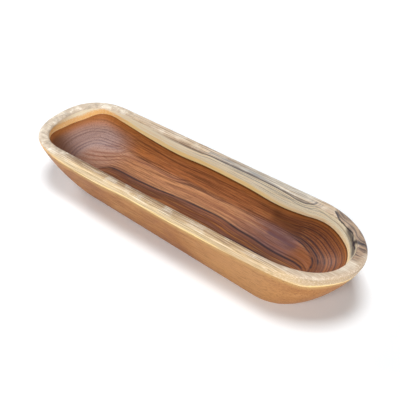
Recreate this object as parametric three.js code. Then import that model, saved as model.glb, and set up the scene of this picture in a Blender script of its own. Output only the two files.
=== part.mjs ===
// A long decorative bowl, carved as a trough from one block of wood.
//
// It lies along X with its blunter end at -X and its rounder end at +X. +Z is up, and the bowl stands on the flat
// of its base at z = 0. The block holds two woods that grew together: brown heartwood, which makes the body, and
// pale sapwood from just under the bark, which makes the rim. Each wood is a closed body, and the two meet face to
// face where the colour changes.

import * as THREE from "three";

// Overall size, in millimetres.
const LENGTH = 500;
const WIDTH = 144;
const HEIGHT = 68;

// The rim: how wide its top is, and how far its edges are rounded.
const RIM_LEFT = 16;
const RIM_RIGHT = 16;
const RIM_SIDE = 14;
const RIM_OUTER_ROUND = 4;
const RIM_INNER_ROUND = 3;

// How long each rounded end is in plan, on the outside and on the inside of the rim.
const LEFT_END = 75;
const RIGHT_END = 93;
const INNER_LEFT_END = 52;
const INNER_RIGHT_END = 92;

// The flat base, measured in from the rim, and the length of its rounded ends.
const BASE_INSET_LEFT = 66;
const BASE_INSET_RIGHT = 47;
const BASE_INSET_SIDE_LEFT = 23;
const BASE_INSET_SIDE_RIGHT = 12;
const BASE_LEFT_END = 65;
const BASE_RIGHT_END = 56;

// The floor of the hollow: its thickness in the middle, the depth of its dish, and how far in from the mouth it starts.
const FLOOR_THICKNESS = 13;
const FLOOR_DISH = 2;
const FLOOR_INSET_END = 55;
const FLOOR_INSET_SIDE = 22;
const FLOOR_LEFT_END = 45;
const FLOOR_RIGHT_END = 70;

// How far the sapwood reaches down from the rim, on the outside and on the inside. The layers of the log slope across
// the bowl, so the sapwood is deeper on the far side than on the near side.
const SAPWOOD_OUT_LEFT = 9;
const SAPWOOD_OUT_RIGHT = 16;
const SAPWOOD_OUT_FAR = 23;
const SAPWOOD_OUT_NEAR = 12;
const SAPWOOD_IN_LEFT = 14;
const SAPWOOD_IN_RIGHT = 25;
const SAPWOOD_IN_FAR = 21;
const SAPWOOD_IN_NEAR = 12;
const SAPWOOD_BLEND = 0.6; // share of the half length at which a side's depth starts to change to an end's

// Powers of the curves: 2 is an ellipse, more is squarer and less is straighter.
const LEFT_POWER = 2.4;
const RIGHT_POWER = 1.9;
const INNER_LEFT_POWER = 2.35;
const INNER_RIGHT_POWER = 2.45;
const FOOT_POWER = 2.2;
const OUTER_WALL_POWER = 1.3;
const INNER_WALL_POWER = 1.7;

// Fineness of the surfaces.
const END_STEPS = 11; // along a quarter of an end
const SIDE_STEPS = 12; // along a side
const WALL_STEPS = 7; // down a wall of the body
const RIM_STEPS = 2; // down a wall of the rim
const ROUND_STEPS = 3; // round an edge of the rim
const FLOOR_STEPS = 3; // from the edge of the floor to its middle

const QUARTER_TURN = Math.PI / 2;

// An outline in plan is a rounded left end, a rounded right end and straight sides between them. Each end has the x
// of its tip, its half width, its length and its squareness.
const end = (tip, half, length, square) => ({ tip, half, length, square });

const MOUTH_HALF = WIDTH / 2 - RIM_SIDE;
const MOUTH_LEFT = -LENGTH / 2 + RIM_LEFT;
const MOUTH_RIGHT = LENGTH / 2 - RIM_RIGHT;
const FLOOR_HALF = MOUTH_HALF - FLOOR_INSET_SIDE;

const OUTER_RIM = {
  left: end(-LENGTH / 2, WIDTH / 2, LEFT_END, LEFT_POWER),
  right: end(LENGTH / 2, WIDTH / 2, RIGHT_END, RIGHT_POWER),
};
const OUTER_BASE = {
  left: end(-LENGTH / 2 + BASE_INSET_LEFT, WIDTH / 2 - BASE_INSET_SIDE_LEFT, BASE_LEFT_END, FOOT_POWER),
  right: end(LENGTH / 2 - BASE_INSET_RIGHT, WIDTH / 2 - BASE_INSET_SIDE_RIGHT, BASE_RIGHT_END, FOOT_POWER),
};
const INNER_RIM = {
  left: end(MOUTH_LEFT, MOUTH_HALF, INNER_LEFT_END, INNER_LEFT_POWER),
  right: end(MOUTH_RIGHT, MOUTH_HALF, INNER_RIGHT_END, INNER_RIGHT_POWER),
};
const INNER_FLOOR = {
  left: end(MOUTH_LEFT + FLOOR_INSET_END, FLOOR_HALF, FLOOR_LEFT_END, FOOT_POWER),
  right: end(MOUTH_RIGHT - FLOOR_INSET_END, FLOOR_HALF, FLOOR_RIGHT_END, FOOT_POWER),
};

// A wall runs from its rim outline, at the depth where the rim's round edge stops, to its foot outline.
const OUTER_WALL = { rim: OUTER_RIM, foot: OUTER_BASE, top: RIM_OUTER_ROUND, bottom: HEIGHT, curve: OUTER_WALL_POWER };
const INNER_WALL = {
  rim: INNER_RIM,
  foot: INNER_FLOOR,
  top: RIM_INNER_ROUND,
  bottom: HEIGHT - FLOOR_THICKNESS - FLOOR_DISH,
  curve: INNER_WALL_POWER,
};

function mixOutlines(from, to, share) {
  const mixEnds = (a, b) =>
    end(
      THREE.MathUtils.lerp(a.tip, b.tip, share),
      THREE.MathUtils.lerp(a.half, b.half, share),
      THREE.MathUtils.lerp(a.length, b.length, share),
      THREE.MathUtils.lerp(a.square, b.square, share),
    );
  return { left: mixEnds(from.left, to.left), right: mixEnds(from.right, to.right) };
}

// The same outline, moved inwards by a distance all round (outwards if it is negative).
function insetOutline({ left, right }, distance) {
  return {
    left: end(left.tip + distance, left.half - distance, left.length - distance, left.square),
    right: end(right.tip - distance, right.half - distance, right.length - distance, right.square),
  };
}

// A point on a rounded end. The turn is 0 at the tip and 1 where the straight side begins.
function endPoint({ tip, half, length, square }, turn) {
  const power = 2 / square;
  const back = length * (1 - Math.cos(turn * QUARTER_TURN) ** power);
  return new THREE.Vector2(tip - Math.sign(tip) * back, half * Math.sin(turn * QUARTER_TURN) ** power);
}

// The way round a ring: from 0 at the right tip, over 1 to 2 along a side, to 3 at the left tip. The far side (+Y)
// comes first and the near side takes the same way back.
function ringStations() {
  const right = Array.from({ length: END_STEPS }, (_, step) => step / END_STEPS);
  const side = Array.from({ length: SIDE_STEPS }, (_, step) => 1 + step / SIDE_STEPS);
  const left = Array.from({ length: END_STEPS }, (_, step) => 2 + step / END_STEPS);
  const ways = [...right, ...side, ...left];
  const far = ways.map((way) => ({ way, side: 1 }));
  const near = ways.map((way) => ({ way: 3 - way, side: -1 }));
  return [...far, ...near];
}

const STATIONS = ringStations();

function outlinePoint({ left, right }, { way, side }, z) {
  let point;
  if (way <= 1) point = endPoint(right, way);
  else if (way >= 2) point = endPoint(left, 3 - way);
  else point = endPoint(right, 1).lerp(endPoint(left, 1), way - 1);
  return new THREE.Vector3(point.x, side * point.y, z);
}

// A point of a wall, at a depth below the top of the rim.
function wallPoint({ rim, foot, top, bottom, curve }, station, depth) {
  const down = (depth - top) / (bottom - top);
  const lean = 1 - (1 - down ** curve) ** (1 / curve);
  return outlinePoint(mixOutlines(rim, foot, lean), station, HEIGHT - depth);
}

const OUTER_SAPWOOD = {
  left: SAPWOOD_OUT_LEFT,
  right: SAPWOOD_OUT_RIGHT,
  far: SAPWOOD_OUT_FAR,
  near: SAPWOOD_OUT_NEAR,
};
const INNER_SAPWOOD = {
  left: SAPWOOD_IN_LEFT,
  right: SAPWOOD_IN_RIGHT,
  far: SAPWOOD_IN_FAR,
  near: SAPWOOD_IN_NEAR,
};

// The depth of the sapwood at a station, which changes from each side towards the ends.
function sapwoodDepth({ left, right, far, near }, station) {
  const along = outlinePoint(OUTER_RIM, station, 0).x / (LENGTH / 2);
  const share = THREE.MathUtils.smoothstep(Math.abs(along), SAPWOOD_BLEND, 1);
  return THREE.MathUtils.lerp(station.side > 0 ? far : near, along < 0 ? left : right, share);
}

const outerSapwood = (station) => sapwoodDepth(OUTER_SAPWOOD, station);
const innerSapwood = (station) => sapwoodDepth(INNER_SAPWOOD, station);

const ring = (pointAt) => STATIONS.map(pointAt);

// Rings down a wall, from one depth to another. They lie closer together lower down, where the wall turns in.
function wallRings(wall, fromDepth, toDepth, steps) {
  return Array.from({ length: steps + 1 }, (_, step) => {
    const share = Math.sin((step / steps) * QUARTER_TURN);
    const depthAt = (station) => THREE.MathUtils.lerp(fromDepth(station), toDepth(station), share);
    return ring((station) => wallPoint(wall, station, depthAt(station)));
  });
}

// Rings round an edge of the rim, from just above the wall up to the flat top. The direction is 1 for an edge that
// bends inwards in plan and -1 for one that bends outwards.
function edgeRings(outline, radius, direction) {
  return Array.from({ length: ROUND_STEPS }, (_, step) => {
    const angle = ((step + 1) / ROUND_STEPS) * QUARTER_TURN;
    const edge = insetOutline(outline, direction * radius * (1 - Math.cos(angle)));
    return ring((station) => outlinePoint(edge, station, HEIGHT - radius * (1 - Math.sin(angle))));
  });
}

// Rings from inside the edge of the floor towards its middle, sinking into the dish.
function floorRings() {
  return Array.from({ length: FLOOR_STEPS - 1 }, (_, step) => {
    const share = 1 - (step + 1) / FLOOR_STEPS;
    const sink = (FLOOR_DISH * (1 + Math.cos(share * Math.PI))) / 2;
    return ring((station) => {
      const edge = wallPoint(INNER_WALL, station, INNER_WALL.bottom);
      return new THREE.Vector3(edge.x * share, edge.y * share, edge.z - sink);
    });
  });
}

// A skin over rings that follow each other. Each four-sided patch is split along its shorter diagonal, so that two
// bodies that share a patch also share its split.
function skin(rings) {
  const triangles = [];
  for (let level = 0; level + 1 < rings.length; level++) {
    STATIONS.forEach((_, here) => {
      const next = (here + 1) % STATIONS.length;
      const [a, b] = [rings[level][here], rings[level][next]];
      const [c, d] = [rings[level + 1][next], rings[level + 1][here]];
      if (a.distanceTo(c) <= b.distanceTo(d)) triangles.push([a, b, c], [a, c, d]);
      else triangles.push([a, b, d], [b, c, d]);
    });
  }
  return triangles;
}

// Triangles from a ring to a point in its middle, turned the right way for the first or the last ring of a skin.
function cap(points, middle, isFirst) {
  return points.map((point, here) => {
    const next = points[(here + 1) % points.length];
    return isFirst ? [middle, next, point] : [point, next, middle];
  });
}

function solid(triangles) {
  const geometry = new THREE.BufferGeometry().setFromPoints(triangles.flat());
  geometry.computeVertexNormals();
  return geometry;
}

// The body: up the outside from the base, across the wall at the sapwood, and down the inside to the floor.
function heartwoodBody() {
  const outside = wallRings(OUTER_WALL, outerSapwood, () => OUTER_WALL.bottom, WALL_STEPS).reverse();
  const inside = wallRings(INNER_WALL, innerSapwood, () => INNER_WALL.bottom, WALL_STEPS);
  const rings = [...outside, ...inside, ...floorRings()];
  const baseMiddle = new THREE.Vector3(0, 0, 0);
  const floorMiddle = new THREE.Vector3(0, 0, FLOOR_THICKNESS);
  return solid([...cap(rings[0], baseMiddle, true), ...skin(rings), ...cap(rings.at(-1), floorMiddle, false)]);
}

// The rim: up the outside from where the sapwood starts, over the top and down the inside, then back across the wall.
function sapwoodRim() {
  const outside = wallRings(OUTER_WALL, () => OUTER_WALL.top, outerSapwood, RIM_STEPS).reverse();
  const inside = wallRings(INNER_WALL, () => INNER_WALL.top, innerSapwood, RIM_STEPS);
  const outerEdge = edgeRings(OUTER_RIM, RIM_OUTER_ROUND, 1);
  const innerEdge = edgeRings(INNER_RIM, RIM_INNER_ROUND, -1).reverse();
  return solid(skin([...outside, ...outerEdge, ...innerEdge, ...inside, outside[0]]));
}

function piece(name, geometry, color, roughness) {
  const mesh = new THREE.Mesh(geometry, new THREE.MeshStandardMaterial({ color, roughness, metalness: 0 }));
  mesh.name = name;
  return mesh;
}

const bowl = new THREE.Group();
bowl.name = "decorative_bowl";
bowl.add(piece("heartwood_body", heartwoodBody(), "#a86f44", 0.4));
bowl.add(piece("sapwood_rim", sapwoodRim(), "#dcc49a", 0.45));

export default bowl;
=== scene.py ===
# A long wooden bowl, carved from one block: its finished surface, its two woods and a plain studio round it.
import math
from collections import namedtuple

import bpy
import numpy as np
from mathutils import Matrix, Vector


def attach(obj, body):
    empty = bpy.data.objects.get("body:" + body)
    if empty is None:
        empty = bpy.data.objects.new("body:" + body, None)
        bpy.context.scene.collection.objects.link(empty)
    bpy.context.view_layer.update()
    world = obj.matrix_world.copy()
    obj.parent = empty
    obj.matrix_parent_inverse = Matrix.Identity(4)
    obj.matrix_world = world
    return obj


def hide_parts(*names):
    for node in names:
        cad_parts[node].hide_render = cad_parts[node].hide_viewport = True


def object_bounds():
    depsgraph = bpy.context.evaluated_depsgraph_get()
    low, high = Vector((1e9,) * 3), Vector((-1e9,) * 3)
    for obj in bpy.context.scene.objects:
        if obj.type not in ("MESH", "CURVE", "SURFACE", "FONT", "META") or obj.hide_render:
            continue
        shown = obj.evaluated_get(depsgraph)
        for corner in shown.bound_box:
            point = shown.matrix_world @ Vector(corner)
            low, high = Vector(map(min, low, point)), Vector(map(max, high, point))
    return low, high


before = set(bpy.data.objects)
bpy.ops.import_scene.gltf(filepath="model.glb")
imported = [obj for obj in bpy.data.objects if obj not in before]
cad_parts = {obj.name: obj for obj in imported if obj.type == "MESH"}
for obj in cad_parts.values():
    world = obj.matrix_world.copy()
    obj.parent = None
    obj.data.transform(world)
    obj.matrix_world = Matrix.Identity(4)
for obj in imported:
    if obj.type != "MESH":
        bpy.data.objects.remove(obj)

CAD_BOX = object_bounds()
LOW, HIGH = CAD_BOX

# Overall size in millimetres, from the frame.
MM = 0.001
LENGTH = (HIGH.x - LOW.x) / MM
WIDTH = (HIGH.y - LOW.y) / MM
HEIGHT = (HIGH.z - LOW.z) / MM

# The carved form, in millimetres: the rim, the rounded ends, the base and the floor of the hollow.
RIM_LEFT = 16
RIM_RIGHT = 16
RIM_SIDE = 14
RIM_OUTER_ROUND = 4
RIM_INNER_ROUND = 3
LEFT_END = 75
RIGHT_END = 93
INNER_LEFT_END = 52
INNER_RIGHT_END = 92
BASE_INSET_LEFT = 66
BASE_INSET_RIGHT = 47
BASE_INSET_SIDE_LEFT = 23
BASE_INSET_SIDE_RIGHT = 12
BASE_LEFT_END = 65
BASE_RIGHT_END = 56
FLOOR_THICKNESS = 13
FLOOR_DISH = 2
FLOOR_INSET_END = 55
FLOOR_INSET_SIDE = 22
FLOOR_LEFT_END = 45
FLOOR_RIGHT_END = 70

# Powers of the curves: 2 is an ellipse, more is squarer and less is straighter.
LEFT_SQUARENESS = 2.4
RIGHT_SQUARENESS = 1.9
INNER_LEFT_SQUARENESS = 2.35
INNER_RIGHT_SQUARENESS = 2.45
FOOT_SQUARENESS = 2.2
OUTER_WALL_CURVE = 1.3
INNER_WALL_CURVE = 1.7

# How deep the sapwood reaches below the rim, as (way round, depth) pairs. The way is 0 at the right tip,
# 1 to 2 along the far side, 3 at the left tip, 4 to 5 along the near side and 6 at the right tip again.
LEFT_TIP = 3
ONCE_ROUND = 6
SAPWOOD_INSIDE = [
    (0.0, 26), (0.5, 22), (0.88, 18.5), (1.1, 25.5), (1.3, 22), (1.5, 21), (1.65, 23), (1.83, 20),
    (2.0, 14.5), (2.3, 11), (2.75, 16), (3.0, 14.5), (3.5, 7.5), (4.0, 10), (5.0, 12), (5.6, 19),
]
SAPWOOD_OUTSIDE = [
    (0.0, 16), (0.5, 20), (1.0, 23), (1.5, 24), (2.0, 20), (2.5, 13), (3.0, 9), (3.5, 7), (3.9, 7.6),
    (4.05, 12.6), (4.2, 14.6), (4.35, 11.4), (4.6, 12.3), (4.85, 10.5), (5.03, 7.5), (5.22, 10),
    (5.4, 15.5), (5.65, 14.2), (5.85, 15.6),
]

# Fineness of the surfaces.
END_STEPS = 48
SIDE_STEPS = 90
WALL_STEPS = 30
RIM_STEPS = 8
ROUND_STEPS = 8
TOP_STEPS = 4
FLOOR_STEPS = 12

QUARTER_TURN = math.pi / 2

# A rounded end of an outline in plan. An outline is a left end, a right end and straight sides between.
End = namedtuple("End", "tip half length square")
Outline = namedtuple("Outline", "left right")
Wall = namedtuple("Wall", "rim foot top bottom curve")

MOUTH_HALF = WIDTH / 2 - RIM_SIDE
MOUTH_LEFT = -LENGTH / 2 + RIM_LEFT
MOUTH_RIGHT = LENGTH / 2 - RIM_RIGHT
FLOOR_HALF = MOUTH_HALF - FLOOR_INSET_SIDE

OUTER_RIM = Outline(
    End(-LENGTH / 2, WIDTH / 2, LEFT_END, LEFT_SQUARENESS),
    End(LENGTH / 2, WIDTH / 2, RIGHT_END, RIGHT_SQUARENESS),
)
OUTER_BASE = Outline(
    End(-LENGTH / 2 + BASE_INSET_LEFT, WIDTH / 2 - BASE_INSET_SIDE_LEFT, BASE_LEFT_END, FOOT_SQUARENESS),
    End(LENGTH / 2 - BASE_INSET_RIGHT, WIDTH / 2 - BASE_INSET_SIDE_RIGHT, BASE_RIGHT_END, FOOT_SQUARENESS),
)
INNER_RIM = Outline(
    End(MOUTH_LEFT, MOUTH_HALF, INNER_LEFT_END, INNER_LEFT_SQUARENESS),
    End(MOUTH_RIGHT, MOUTH_HALF, INNER_RIGHT_END, INNER_RIGHT_SQUARENESS),
)
INNER_FLOOR = Outline(
    End(MOUTH_LEFT + FLOOR_INSET_END, FLOOR_HALF, FLOOR_LEFT_END, FOOT_SQUARENESS),
    End(MOUTH_RIGHT - FLOOR_INSET_END, FLOOR_HALF, FLOOR_RIGHT_END, FOOT_SQUARENESS),
)

# A wall runs from its rim outline, at the depth where the rim's round edge stops, to its foot outline.
OUTER_WALL = Wall(OUTER_RIM, OUTER_BASE, RIM_OUTER_ROUND, HEIGHT, OUTER_WALL_CURVE)
INNER_DEPTH = HEIGHT - FLOOR_THICKNESS - FLOOR_DISH
INNER_WALL = Wall(INNER_RIM, INNER_FLOOR, RIM_INNER_ROUND, INNER_DEPTH, INNER_WALL_CURVE)


def ring_ways():
    """The way round of each point of a ring."""
    right = np.arange(END_STEPS) / END_STEPS
    side = 1 + np.arange(SIDE_STEPS) / SIDE_STEPS
    left = 2 + np.arange(END_STEPS) / END_STEPS
    half = np.concatenate([right, side, left])
    return np.concatenate([half, LEFT_TIP + half])


WAYS = ring_ways()
HALF_WAYS = np.where(WAYS < LEFT_TIP, WAYS, ONCE_ROUND - WAYS)
SIDES = np.where(WAYS < LEFT_TIP, 1.0, -1.0)


def loop_values(pairs):
    """A smooth closed curve through (way, value) pairs, read at every point of a ring."""
    ways = np.array([way for way, _ in pairs], float)
    values = np.array([value for _, value in pairs], float)
    ways = np.concatenate([ways[-2:] - ONCE_ROUND, ways, ways[:2] + ONCE_ROUND])
    values = np.concatenate([values[-2:], values, values[:2]])
    slopes = np.gradient(values, ways)
    left = np.clip(np.searchsorted(ways, WAYS, side="right") - 1, 0, len(ways) - 2)
    span = ways[left + 1] - ways[left]
    share = (WAYS - ways[left]) / span
    start = (1 + 2 * share) * (1 - share) ** 2 * values[left]
    start_slope = share * (1 - share) ** 2 * span * slopes[left]
    end = share**2 * (3 - 2 * share) * values[left + 1]
    end_slope = share**2 * (share - 1) * span * slopes[left + 1]
    return start + start_slope + end + end_slope


INNER_LINE = loop_values(SAPWOOD_INSIDE)
OUTER_LINE = loop_values(SAPWOOD_OUTSIDE)


def mix_outlines(start, finish, share):
    """The outline at a share of the way from one to another."""
    mixed = [
        End(*(a + (b - a) * share for a, b in zip(one, other)))
        for one, other in zip(start, finish)
    ]
    return Outline(*mixed)


def inset_outline(outline, distance):
    """The outline moved inwards by a distance all round, or outwards if it is negative."""
    left, right = outline
    return Outline(
        End(left.tip + distance, left.half - distance, left.length - distance, left.square),
        End(right.tip - distance, right.half - distance, right.length - distance, right.square),
    )


def end_points(end, turn):
    """Points on a rounded end. The turn is 0 at the tip and 1 where the straight side begins."""
    power = 2 / end.square
    back = end.length * (1 - np.cos(turn * QUARTER_TURN) ** power)
    return end.tip - np.sign(end.tip) * back, end.half * np.sin(turn * QUARTER_TURN) ** power


def outline_ring(outline, z):
    """The ring of points on an outline, at a height or at a height for each point."""
    right_x, right_y = end_points(outline.right, np.clip(HALF_WAYS, 0, 1))
    left_x, left_y = end_points(outline.left, np.clip(LEFT_TIP - HALF_WAYS, 0, 1))
    share = np.clip(HALF_WAYS - 1, 0, 1)
    x = right_x + (left_x - right_x) * share
    y = SIDES * (right_y + (left_y - right_y) * share)
    return np.column_stack([x, y, np.broadcast_to(z, x.shape)])


def wall_ring(wall, depth):
    """The ring of points on a wall, at a depth below the rim or at a depth for each point."""
    depth = np.broadcast_to(np.asarray(depth, float), WAYS.shape)
    down = np.clip((depth - wall.top) / (wall.bottom - wall.top), 0, 1)
    lean = 1 - (1 - down**wall.curve) ** (1 / wall.curve)
    return outline_ring(mix_outlines(wall.rim, wall.foot, lean), HEIGHT - depth)


def wall_rings(wall, start, finish, steps):
    """Rings down a wall from one depth to another, closer together lower down, where the wall turns in."""
    shares = np.sin(np.arange(steps + 1) / steps * QUARTER_TURN)
    return [wall_ring(wall, start + (finish - start) * share) for share in shares]


def edge_rings(outline, radius, inwards):
    """Rings round an edge of the rim, from just above the wall up to the top. Inwards is 1 or -1."""
    rings = []
    for step in range(1, ROUND_STEPS + 1):
        angle = step / ROUND_STEPS * QUARTER_TURN
        edge = inset_outline(outline, inwards * radius * (1 - math.cos(angle)))
        rings.append(outline_ring(edge, HEIGHT - radius * (1 - math.sin(angle))))
    return rings


def floor_rings():
    """Rings from inside the edge of the floor towards its middle, sinking into the dish."""
    edge = wall_ring(INNER_WALL, INNER_WALL.bottom)
    rings = []
    for step in range(1, FLOOR_STEPS):
        share = 1 - step / FLOOR_STEPS
        ring = edge * (share, share, 1)
        ring[:, 2] -= FLOOR_DISH * (1 + math.cos(share * math.pi)) / 2
        rings.append(ring)
    return rings


def skin_faces(ring_count):
    """Four-sided faces over rings that follow each other."""
    count = len(WAYS)
    faces = []
    for level in range(ring_count - 1):
        for here in range(count):
            following = (here + 1) % count
            low, high = level * count, (level + 1) * count
            faces.append((low + here, low + following, high + following, high + here))
    return faces


def cap_faces(first, middle, is_first):
    """Triangles from a ring, which starts at a point number, to a point in its middle."""
    count = len(WAYS)
    faces = []
    for here in range(count):
        following = (here + 1) % count
        face = (first + here, first + following, middle)
        faces.append(tuple(reversed(face)) if is_first else face)
    return faces


def make_piece(name, points, faces, sharp_rings, values):
    """A smooth mesh object, creased at some of its rings, whose points carry named values for the wood."""
    mesh = bpy.data.meshes.new(name)
    mesh.from_pydata((np.asarray(points) * MM).tolist(), [], faces)
    mesh.shade_smooth()
    count = len(WAYS)
    creased = {ring * count + here for ring in sharp_rings for here in range(count)}
    for edge in mesh.edges:
        one, other = edge.vertices
        edge.use_edge_sharp = one in creased and other in creased and one // count == other // count
    for value_name, numbers in values.items():
        attribute = mesh.attributes.new(value_name, "FLOAT", "POINT")
        attribute.data.foreach_set("value", np.asarray(numbers, np.float32))
    mesh.validate()
    piece = bpy.data.objects.new(name, mesh)
    bpy.context.collection.objects.link(piece)
    return piece


def heartwood_piece():
    """The body: up the outside from the base, over at the colour line and down the inside to the floor."""
    count = len(WAYS)
    outside = wall_rings(OUTER_WALL, OUTER_LINE, OUTER_WALL.bottom, WALL_STEPS)[::-1]
    inside = wall_rings(INNER_WALL, INNER_LINE, INNER_WALL.bottom, WALL_STEPS)
    floor = floor_rings()
    rings = outside + inside + floor
    outside_distance = [HEIGHT - ring[:, 2] - OUTER_LINE for ring in outside]
    steps = [np.linalg.norm(b - a, axis=1) for a, b in zip(inside + floor, inside[1:] + floor)]
    inside_distance = list(np.cumsum([np.zeros(count)] + steps, axis=0))
    # The last two points are the middles of the base and of the floor, which are far from the colour line.
    middles = [[0, 0, 0], [0, 0, FLOOR_THICKNESS]]
    points = np.concatenate(rings + [middles])
    values = {
        "line_distance": np.concatenate(outside_distance + inside_distance + [[HEIGHT, HEIGHT]]),
        "inside": np.repeat([0, 1, 0, 1], [len(outside) * count, len(inside + floor) * count, 1, 1]),
    }
    total = len(rings) * count
    faces = cap_faces(0, total, True) + skin_faces(len(rings))
    faces += cap_faces(total - count, total + 1, False)
    line_rings = [len(outside) - 1, len(outside)]
    return make_piece("heartwood", points, faces, line_rings + [0], values)


def sapwood_piece():
    """The rim: up the outside from the colour line, over the top, down the inside and back under."""
    outside = wall_rings(OUTER_WALL, np.full(len(WAYS), OUTER_WALL.top, float), OUTER_LINE, RIM_STEPS)[::-1]
    inside = wall_rings(INNER_WALL, np.full(len(WAYS), INNER_WALL.top, float), INNER_LINE, RIM_STEPS)
    outer_edge = edge_rings(OUTER_RIM, RIM_OUTER_ROUND, 1)
    inner_edge = edge_rings(INNER_RIM, RIM_INNER_ROUND, -1)[::-1]
    shares = np.arange(1, TOP_STEPS) / TOP_STEPS
    top = [outer_edge[-1] + (inner_edge[0] - outer_edge[-1]) * share for share in shares]
    rings = outside + outer_edge + top + inner_edge + inside
    steps = [np.linalg.norm(b - a, axis=1) for a, b in zip(rings, rings[1:])]
    from_outside = np.cumsum([np.zeros(len(WAYS))] + steps, axis=0)
    distance = np.minimum(from_outside, from_outside[-1] - from_outside)
    values = {"line_distance": distance.ravel(), "across": (from_outside / from_outside[-1]).ravel()}
    faces = skin_faces(len(rings) + 1)
    total = len(rings) * len(WAYS)
    faces = [tuple(point % total for point in face) for face in faces]
    return make_piece("sapwood", np.concatenate(rings), faces, [0, len(rings) - 1], values)


class Shader:
    """A material that is built up node by node. Inputs are sockets, numbers or tuples."""

    def __init__(self, name):
        self.material = bpy.data.materials.new(name)
        self.material.use_nodes = True
        self.tree = self.material.node_tree
        self.surface = self.tree.nodes["Principled BSDF"]

    def feed(self, socket, value):
        if isinstance(value, bpy.types.NodeSocket):
            self.tree.links.new(value, socket)
        else:
            socket.default_value = value

    def math(self, operation, *values):
        node = self.tree.nodes.new("ShaderNodeMath")
        node.operation = operation
        for socket, value in zip(node.inputs, values):
            self.feed(socket, value)
        return node.outputs[0]

    def vector(self, operation, *values):
        node = self.tree.nodes.new("ShaderNodeVectorMath")
        node.operation = operation
        sockets = (node.inputs[0], node.inputs["Scale"]) if operation == "SCALE" else node.inputs
        for socket, value in zip(sockets, values):
            self.feed(socket, value)
        return node.outputs["Value"] if operation in ("LENGTH", "DOT_PRODUCT") else node.outputs[0]

    def place(self):
        """The point of the surface in the bowl's own frame, in millimetres."""
        node = self.tree.nodes.new("ShaderNodeTexCoord")
        return self.vector("MULTIPLY", node.outputs["Object"], (1 / MM,) * 3)

    def scaled(self, vector, scale):
        return self.vector("MULTIPLY", vector, scale)

    def times(self, first, *others):
        """The product of several values."""
        for other in others:
            first = self.math("MULTIPLY", first, other)
        return first

    def parts(self, vector):
        node = self.tree.nodes.new("ShaderNodeSeparateXYZ")
        self.feed(node.inputs[0], vector)
        return node.outputs

    def join(self, x, y, z):
        node = self.tree.nodes.new("ShaderNodeCombineXYZ")
        for socket, value in zip(node.inputs, (x, y, z)):
            self.feed(socket, value)
        return node.outputs[0]

    def attribute(self, name):
        node = self.tree.nodes.new("ShaderNodeAttribute")
        node.attribute_name = name
        return node.outputs["Fac"]

    def noise(self, where, detail=2.0, rough=0.5):
        """Noise from 0 to 1, about one swing for each unit of its vector."""
        node = self.tree.nodes.new("ShaderNodeTexNoise")
        self.feed(node.inputs["Vector"], where)
        node.inputs["Scale"].default_value = 1.0
        node.inputs["Detail"].default_value = detail
        node.inputs["Roughness"].default_value = rough
        return node.outputs["Fac"]

    def grain(self, place, length, width, detail=3.0, rough=0.62):
        """Noise that is drawn out along the wood: streaks of about this length and width in millimetres."""
        return self.noise(self.scaled(place, (1 / length, 1 / width, 1 / width)), detail, rough)

    def ramp(self, value, low, high, start=0.0, finish=1.0):
        """A smooth step from start at low to finish at high."""
        node = self.tree.nodes.new("ShaderNodeMapRange")
        node.interpolation_type = "SMOOTHSTEP"
        for socket, number in zip(node.inputs, (value, low, high, start, finish)):
            self.feed(socket, number)
        return node.outputs[0]

    def zone(self, *changes):
        """The strength where several changes meet, each given as a value and its change."""
        return self.times(*(self.ramp(value, *change) for value, change in changes))

    def mix(self, share, first, second):
        """A colour between two others. The node keeps its colour sockets after those for other kinds."""
        node = self.tree.nodes.new("ShaderNodeMix")
        node.data_type = "RGBA"
        self.feed(node.inputs[0], share)
        self.feed(node.inputs[6], first)
        self.feed(node.inputs[7], second)
        return node.outputs[2]

    def line(self, value, middle, half_width):
        """1 where the value meets the middle of a line, falling to 0 at its half width."""
        gap = self.math("ABSOLUTE", self.math("SUBTRACT", value, middle))
        return self.ramp(gap, 0, half_width, 1, 0)

    def noise_vector(self, where):
        """A shift that wanders by about half a unit each way."""
        node = self.tree.nodes.new("ShaderNodeTexNoise")
        self.feed(node.inputs["Vector"], where)
        node.inputs["Scale"].default_value = 1.0
        return self.vector("SUBTRACT", node.outputs["Color"], (0.5, 0.5, 0.5))

    def curve(self, value, points):
        """A smooth curve through (input, output) points."""
        low, high = points[0][0], points[-1][0]
        bottom = min(output for _, output in points)
        rise = max(output for _, output in points) - bottom
        node = self.tree.nodes.new("ShaderNodeFloatCurve")
        knots = node.mapping.curves[0].points
        while len(knots) < len(points):
            knots.new(0.5, 0.5)
        for knot, (given, output) in zip(knots, points):
            knot.location = ((given - low) / (high - low), (output - bottom) / rise)
        node.mapping.update()
        share = self.math("DIVIDE", self.math("SUBTRACT", value, low), high - low)
        self.feed(node.inputs["Value"], share)
        return self.math("MULTIPLY_ADD", node.outputs[0], rise, bottom)

    def path_distance(self, place, points):
        """The distance from a path of straight steps."""
        nearest = None
        for start, finish in zip(points, points[1:]):
            step = Vector(finish) - Vector(start)
            arm = self.vector("SUBTRACT", place, start)
            share = self.math("DIVIDE", self.vector("DOT_PRODUCT", arm, tuple(step)), step.length_squared)
            share = self.math("MINIMUM", self.math("MAXIMUM", share, 0.0), 1.0)
            foot = self.scaled(tuple(step), self.join(share, share, share))
            gap = self.vector("LENGTH", self.vector("SUBTRACT", arm, foot))
            nearest = gap if nearest is None else self.math("MINIMUM", nearest, gap)
        return nearest

    def bump(self, height, depth):
        node = self.tree.nodes.new("ShaderNodeBump")
        node.inputs["Distance"].default_value = depth * MM
        self.feed(node.inputs["Height"], height)
        self.feed(self.surface.inputs["Normal"], node.outputs[0])


def colour(red, green, blue):
    """A colour given as screen values from 0 to 255."""
    def linear(value):
        share = value / 255
        return share / 12.92 if share <= 0.04045 else ((share + 0.055) / 1.055) ** 2.4
    return (linear(red), linear(green), linear(blue), 1.0)


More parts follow.
